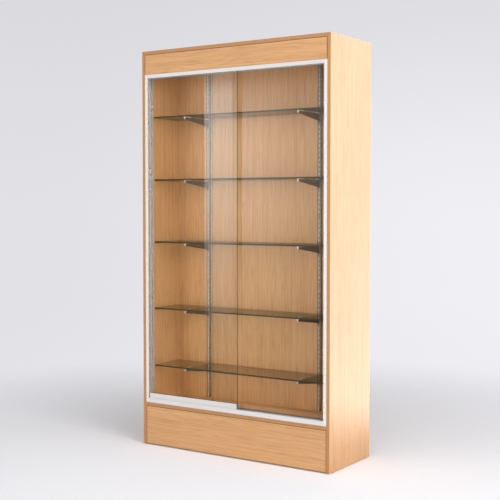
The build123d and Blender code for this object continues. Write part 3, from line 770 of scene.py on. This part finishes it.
class CABINET_OT_shoes(Operator):
    """Make the door shoes with rounded corners, their gaskets with lips and their moulded end caps"""
    bl_idname = "cabinet.shoes"
    bl_label = "Door shoes"

    def execute(self, context):
        s = context.scene.cabinet_gear
        metal = satin_anodised_aluminium("bright_anodised_shoe", "X", s.shoe, 0.3)
        rubber = moulded("black_rubber", s.rubber, 0.6)
        plastic = moulded("moulded_end_cap", s.cap, 0.45)
        wall, small, lip, lip_rise, saw_edge = 1.5 * MM, 0.3 * MM, 0.8 * MM, 0.3 * MM, 0.1 * MM
        for door in DOORS:
            body = f"{door}_door"
            (low, high), (seal_low, seal), (glass_low, glass), (cap_low, cap_high) = (
                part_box(f"{body}_{part}") for part in ("shoe", "gasket", "glass", "end_caps"))
            middle = (low.y + high.y) / 2

            section = mirrored([(seal.y, seal_low.z - wall), (seal.y, low.z), (high.y, low.z), (high.y, high.z),
                                (seal.y, high.z), (seal.y, seal_low.z)], middle)
            section = rounded(section, [small, small, s.corner, s.corner, small, small] * 2)
            make_piece(f"{door}_shoe", [bar(section, low.x, high.x, saw_edge, 1)], [metal], body,
                       f"{body}_shoe")

            section = mirrored([(seal.y, seal_low.z), (seal.y, high.z), (seal.y + lip, high.z + lip_rise),
                                (seal.y, high.z + lip), (glass.y, high.z + lip), (glass.y, glass_low.z)], middle)
            section = rounded(section, 0.2 * MM, 2)
            make_piece(f"{door}_gasket", [bar(section, low.x, high.x, saw_edge, 1)], [rubber], body,
                       f"{body}_gasket")

            section = mirrored([(high.y, low.z), (high.y, high.z), (seal.y, high.z), (seal.y, seal_low.z)], middle)
            section = rounded(section, 0.6 * MM)
            caps = [bar(section, *ends, small) for ends in ((cap_low.x, low.x), (high.x, cap_high.x))]
            make_piece(f"{door}_end_caps", caps, [plastic], body, f"{body}_end_caps")
        return {"FINISHED"}


class CABINET_OT_rollers(Operator):
    """Make the turned rollers with their running groove, and dress their axles"""
    bl_idname = "cabinet.rollers"
    bl_label = "Rollers"

    def execute(self, context):
        s = context.scene.cabinet_gear
        bore, tread, groove, corner, facets = 1.55 * MM, 4.5 * MM, 1.8 * MM, 0.35 * MM, 48
        nylon = moulded("turned_nylon", s.nylon, 0.3, 0.1)
        for door in DOORS:
            for end in SIDES:
                node = f"{door}_{end}_roller"
                low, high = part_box(node)
                flange, half = (high.z - low.z) / 2, (high.y - low.y) / 2
                profile = rounded([(bore, -half), (flange, -half), (tread, -groove), (tread, groove),
                                   (flange, half), (bore, half)], corner, 3)
                shape = placed(turned(profile, facets, True), ACROSS_Y, (low + high) / 2)
                make_piece(f"{door}_{end}_turned_roller", [shape], [nylon], node, node)
        dress(("front_door_axles", "rear_door_axles"),
              plated_steel("drawn_steel_axle", context.scene.cabinet_carriers.zinc, 0.2))
        return {"FINISHED"}


class CABINET_OT_guides(Operator):
    """Dress the guide liners and make the rubber buffers"""
    bl_idname = "cabinet.guides"
    bl_label = "Guides and buffers"

    def execute(self, context):
        s = context.scene.cabinet_gear
        dress(("top_guides",), moulded("extruded_nylon_liner", s.nylon, 0.4))
        size, depth, corner, edge = 12 * MM, 3 * MM, 2.4 * MM, 0.8 * MM
        low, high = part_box("door_buffers")
        shapes = []
        for door in DOORS:
            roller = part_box(f"{door}_left_roller")
            y = (roller[0].y + roller[1].y) / 2
            outline = rounded(rectangle((y - size / 2, low.z), (y + size / 2, low.z + size)), corner)
            shapes += [bar(outline, near, near + depth, edge) for near in (low.x, high.x - depth)]
        rubber = moulded("buffer_rubber", s.rubber, 0.65)
        make_piece("rubber_buffers", shapes, [rubber], "cabinet", "door_buffers")
        return {"FINISHED"}


class CABINET_OT_feet(Operator):
    """Dress the corner blocks and the floor glides"""
    bl_idname = "cabinet.feet"
    bl_label = "Feet and blocks"

    def execute(self, context):
        s = context.scene.cabinet_gear
        dress(("corner_blocks",), moulded("moulded_corner_block", s.block, 0.5))
        dress(("floor_glides",), moulded("moulded_floor_glide", s.glide, 0.5))
        return {"FINISHED"}


# Stage

def studio_camera(scene, s):
    """The photograph's camera: level but for its pitch, with its axis through the middle of the image."""
    data = bpy.data.cameras.new("photograph_camera")
    data.sensor_width = 36
    data.lens = s.lens
    camera = bpy.data.objects.new("photograph_camera", data)
    camera.location = s.camera_place
    camera.rotation_euler = (math.pi / 2 - s.camera_pitch, 0, s.camera_yaw)
    scene.collection.objects.link(camera)
    scene.camera = camera


def studio_fill(scene, s):
    """Even soft light from all sides."""
    scene.world, add = emptied(bpy.data.worlds.new("studio"))
    light = add("Background", {"Color": (1, 1, 1, 1), "Strength": s.sky})
    add("OutputWorld", {"Surface": light}, None)


def stage_piece(name, shape, finish, *unseen_by):
    """A piece of the stage from a shape, whose last end stays open, and the rays that don't see it."""
    points, sides, ends = shape
    piece = link_mesh(name, points, sides + ends[:1], [finish])
    for ray in unseen_by:
        setattr(piece, "visible_" + ray, False)


def behind_panes(add, kind):
    """One for light that comes to a matt or glossy surface through glass, and nothing for all other light."""
    path = add("LightPath", out=None)
    return add("Math", [path[kind], path["Transmission Depth"]], operation="MULTIPLY", use_clamp=True)


def backdrop_paint(add, s):
    """The backdrop's colour: painted shade that makes it darker to the left and above, as the light falls off there.
    """
    half_width, low, high, share_above = 3.2, 1.0, 5.0, 0.8
    place = add("SeparateXYZ", [add("TexCoord", out="Object")], None)
    turn = add("Math", [place["X"], math.cos(s.camera_yaw)], operation="MULTIPLY")
    side = add("Math", [place["Y"], math.sin(s.camera_yaw), turn], operation="MULTIPLY_ADD")
    across = add("MapRange", {"Value": side, "From Min": -half_width, "From Max": half_width},
                 interpolation_type="SMOOTHSTEP")
    level = add("Mix", {0: across, 6: opaque(s.backdrop_left), 7: opaque(s.backdrop_right)}, **COLOURS)
    rise = add("MapRange", {"Value": place["Z"], "From Min": low, "From Max": high, "To Max": share_above},
               interpolation_type="SMOOTHSTEP")
    return add("Mix", {0: rise, 6: level, 7: opaque(s.backdrop_high)}, **COLOURS)


def backdrop_bowl(s):
    """A round painted bowl: floor to 8 m, then a quarter circle up to a wall. Its height at the distance r is
    R - sqrt(R^2 - (r - 8)^2). Its light in the case has the gain and the share that the settings give."""
    inner_rings, floor_end, curve, wall, sides, under = [0.01, 4, 6], 8.0, 1.5, [6, 12], 96, 2 * MM
    bend = np.linspace(0, math.pi / 2, 16)
    radius = np.concatenate([inner_rings, floor_end + curve * np.sin(bend), [floor_end + curve] * 2])
    height = np.concatenate([[0, 0, 0], curve * (1 - np.cos(bend)), wall]) - under
    material, add = emptied(bpy.data.materials.new("painted_backdrop"))
    spread, shine = (behind_panes(add, kind) for kind in ("Diffuse Depth", "Glossy Depth"))
    kept = add("Mix", {0: spread, 2: 1.0, 3: s.inside})
    strength = add("Mix", {0: shine, 2: kept, 3: s.veil})
    glow = add("Emission", {"Color": backdrop_paint(add, s), "Strength": strength})
    stage_piece("backdrop_bowl", turned(np.column_stack([radius, height]), sides), finished(material, add, glow),
                "diffuse", "shadow")


def floor_disc(s):
    """A flat disc just above the bowl that keeps the cabinet's shadow, and fades into the bowl's own light."""
    fade_start, fade_end, rings, sides = 0.9, 3.6, (0.01, 1, 2, 3, 4, 5), 96
    material, add = emptied(bpy.data.materials.new("painted_floor"))
    paint = backdrop_paint(add, s)
    matt = add("BsdfDiffuse", {"Color": opaque(s.floor)})
    glow = add("Emission", {"Color": paint, "Strength": 1.0})
    reach = add("VectorMath", [add("TexCoord", out="Object")], "Value", operation="LENGTH")
    fade = add("MapRange", {"Value": reach, "From Min": fade_start, "From Max": fade_end},
               interpolation_type="SMOOTHSTEP")
    seen = add("Math", [add("LightPath", out="Is Camera Ray"), s.lift], operation="MULTIPLY")
    lift = add("Emission", {"Color": paint, "Strength": seen})
    lit = add("AddShader", [matt, lift])
    surface = add("MixShader", [fade, lit, glow])
    unseen = add("Math", [behind_panes(add, "Glossy Depth"), 1 - s.veil], operation="MULTIPLY")
    dark = add("Emission", {"Color": paint, "Strength": 0.0})
    surface = add("MixShader", [unseen, surface, dark])
    profile = [(radius, 0) for radius in rings]
    stage_piece("floor_disc", turned(profile, sides), finished(material, add, surface))


def area_lamp(name, place, target, size, power, shown=False):
    """A square lamp that faces the target, and that is shown in gloss and glass or not."""
    data = bpy.data.lights.new(name, "AREA")
    data.shape = "SQUARE"
    data.size = size
    data.energy = power
    lamp = bpy.data.objects.new(name, data)
    lamp.location = place
    lamp.rotation_euler = (Vector(place) - Vector(target)).to_track_quat("Z", "Y").to_euler()
    lamp.visible_glossy = lamp.visible_transmission = shown
    bpy.context.scene.collection.objects.link(lamp)


def flat(name, start, end, levels, gain, satin=None, fade=(0, 1, 1, 1)):
    """A standing flat between two points of the floor. Only gloss sees it: polished glass at the gain times a
    brightness that follows (height, level) pairs and fades across from one x to another, and satin surfaces at
    an even one where that is given."""
    top, steps = 2.8, 9
    foot = np.linspace((*start, 0), (*end, 0), steps)
    points, faces = open_sheet(np.linspace(foot, foot + (0, 0, top), steps))
    material, add = emptied(bpy.data.materials.new(name + "_cloth"))
    place = add("SeparateXYZ", [add("TexCoord", out="Object")], None)
    level = gain * levels[0][1]
    for (low, dim), (high, bright) in zip(levels, levels[1:]):
        rise = add("MapRange", {"Value": place["Z"], "From Min": low, "From Max": high,
                                "To Max": gain * bright - gain * dim})
        level = add("Math", [level, rise], operation="ADD")
    across = add("MapRange", {"Value": place["X"], "From Min": fade[0], "To Min": fade[1],
                              "From Max": fade[2], "To Max": fade[3]})
    strength = add("Math", [level, across], operation="MULTIPLY")
    if satin is not None:
        polished = add("LightPath", out="Is Singular Ray")
        strength = add("Mix", {0: polished, 2: satin, 3: strength})
    glow = add("Emission", {"Color": (1, 1, 1, 1), "Strength": strength})
    stage_piece(name, (points, faces.reshape(-1, 4).tolist(), []), finished(material, add, glow),
                "camera", "diffuse", "transmission", "shadow")


class CABINET_OT_stage(Operator):
    """Make the floor, the backdrop, the lamps and the camera"""
    bl_idname = "cabinet.stage"
    bl_label = "Stage"

    def execute(self, context):
        s = context.scene.cabinet_stage
        context.scene.view_settings.view_transform = "Standard"
        studio_camera(context.scene, s)
        studio_fill(context.scene, s)
        backdrop_bowl(s)
        floor_disc(s)
        # a soft key lamp at the right that gloss shows too, a broad one overhead and one at the left front
        area_lamp("key_lamp", (4.2, -1.9, 2.3), (0, 0, 0.9), 2.2, s.key, True)
        area_lamp("top_lamp", (1.3, -1.2, 5.2), (0, 0, 0), 3.0, s.top)
        area_lamp("front_lamp", (-1.5, -4.6, 1.25), (0, 0, 0.85), 2.0, s.front)
        # three flats side by side that the panes mirror, and one seen in the right side: (height, level) pairs
        front, left, inner, middle, right = -1.4, -2.1, -1.06, -0.83, 0.9
        dim = ((1.0, 0), (1.5, 0.65), (2.1, 0.65), (2.2, 0.1))
        band = ((0.3, 0), (0.5, 0.2), (0.7, 1.2), (0.95, 1.7), (1.2, 2.7), (1.45, 3.8), (1.86, 4.6), (2.09, 4.3),
                (2.2, 1.6))
        door = ((0.4, 0), (0.7, 0.3), (0.95, 0.6), (1.2, 1.5), (1.45, 2.0), (1.86, 2.1), (2.09, 1.5), (2.2, 0.5))
        side = ((0, 1.5), (0.6, 1.05), (1.2, 1), (2.6, 1))
        flat("band_flat", (inner, front), (middle, front), band, s.gloss, s.bounce)
        flat("door_flat", (middle, front), (right, front), door, s.gloss, s.bounce, (middle, 1.4, -0.3, 0.5))
        flat("dim_flat", (left, front), (inner, front), dim, s.gloss, s.bounce, (-1.35, 0, inner, 1))
        flat("side_flat", (1.5, 0.35), (0.67, 1.25), side, s.sheen)
        return {"FINISHED"}


OPERATORS = (CABINET_OT_stage, CABINET_OT_boards, CABINET_OT_frame, CABINET_OT_panes, CABINET_OT_shelves,
             CABINET_OT_uprights, CABINET_OT_brackets, CABINET_OT_pads, CABINET_OT_screws, CABINET_OT_shoes,
             CABINET_OT_rollers, CABINET_OT_guides, CABINET_OT_feet)


class CABINET_PT_panel(Panel):
    """Sidebar panel with the cabinet's settings and pieces."""
    bl_idname = "CABINET_PT_panel"
    bl_label = "Glass Display Cabinet"
    bl_space_type = "VIEW_3D"
    bl_region_type = "UI"
    bl_category = "Cabinet"

    def draw(self, context):
        for operator in OPERATORS:
            self.layout.operator(operator.bl_idname)
        for group, kind in GROUPS.items():
            box = self.layout.box()
            box.label(text=kind.__doc__)
            for name in kind.__annotations__:
                box.prop(getattr(context.scene, group), name)


def register():
    for group, kind in GROUPS.items():
        bpy.utils.register_class(kind)
        setattr(Scene, group, PointerProperty(type=kind))
    for kind in (*OPERATORS, CABINET_PT_panel):
        bpy.utils.register_class(kind)


def unregister():
    for kind in (CABINET_PT_panel, *reversed(OPERATORS)):
        bpy.utils.unregister_class(kind)
    for group, kind in reversed(GROUPS.items()):
        delattr(Scene, group)
        bpy.utils.unregister_class(kind)


def main():
    """Makes the stage and every piece."""
    register()
    for operator in OPERATORS:
        group, name = operator.bl_idname.split(".")
        getattr(getattr(bpy.ops, group), name)()


if __name__ == "__main__":
    main()
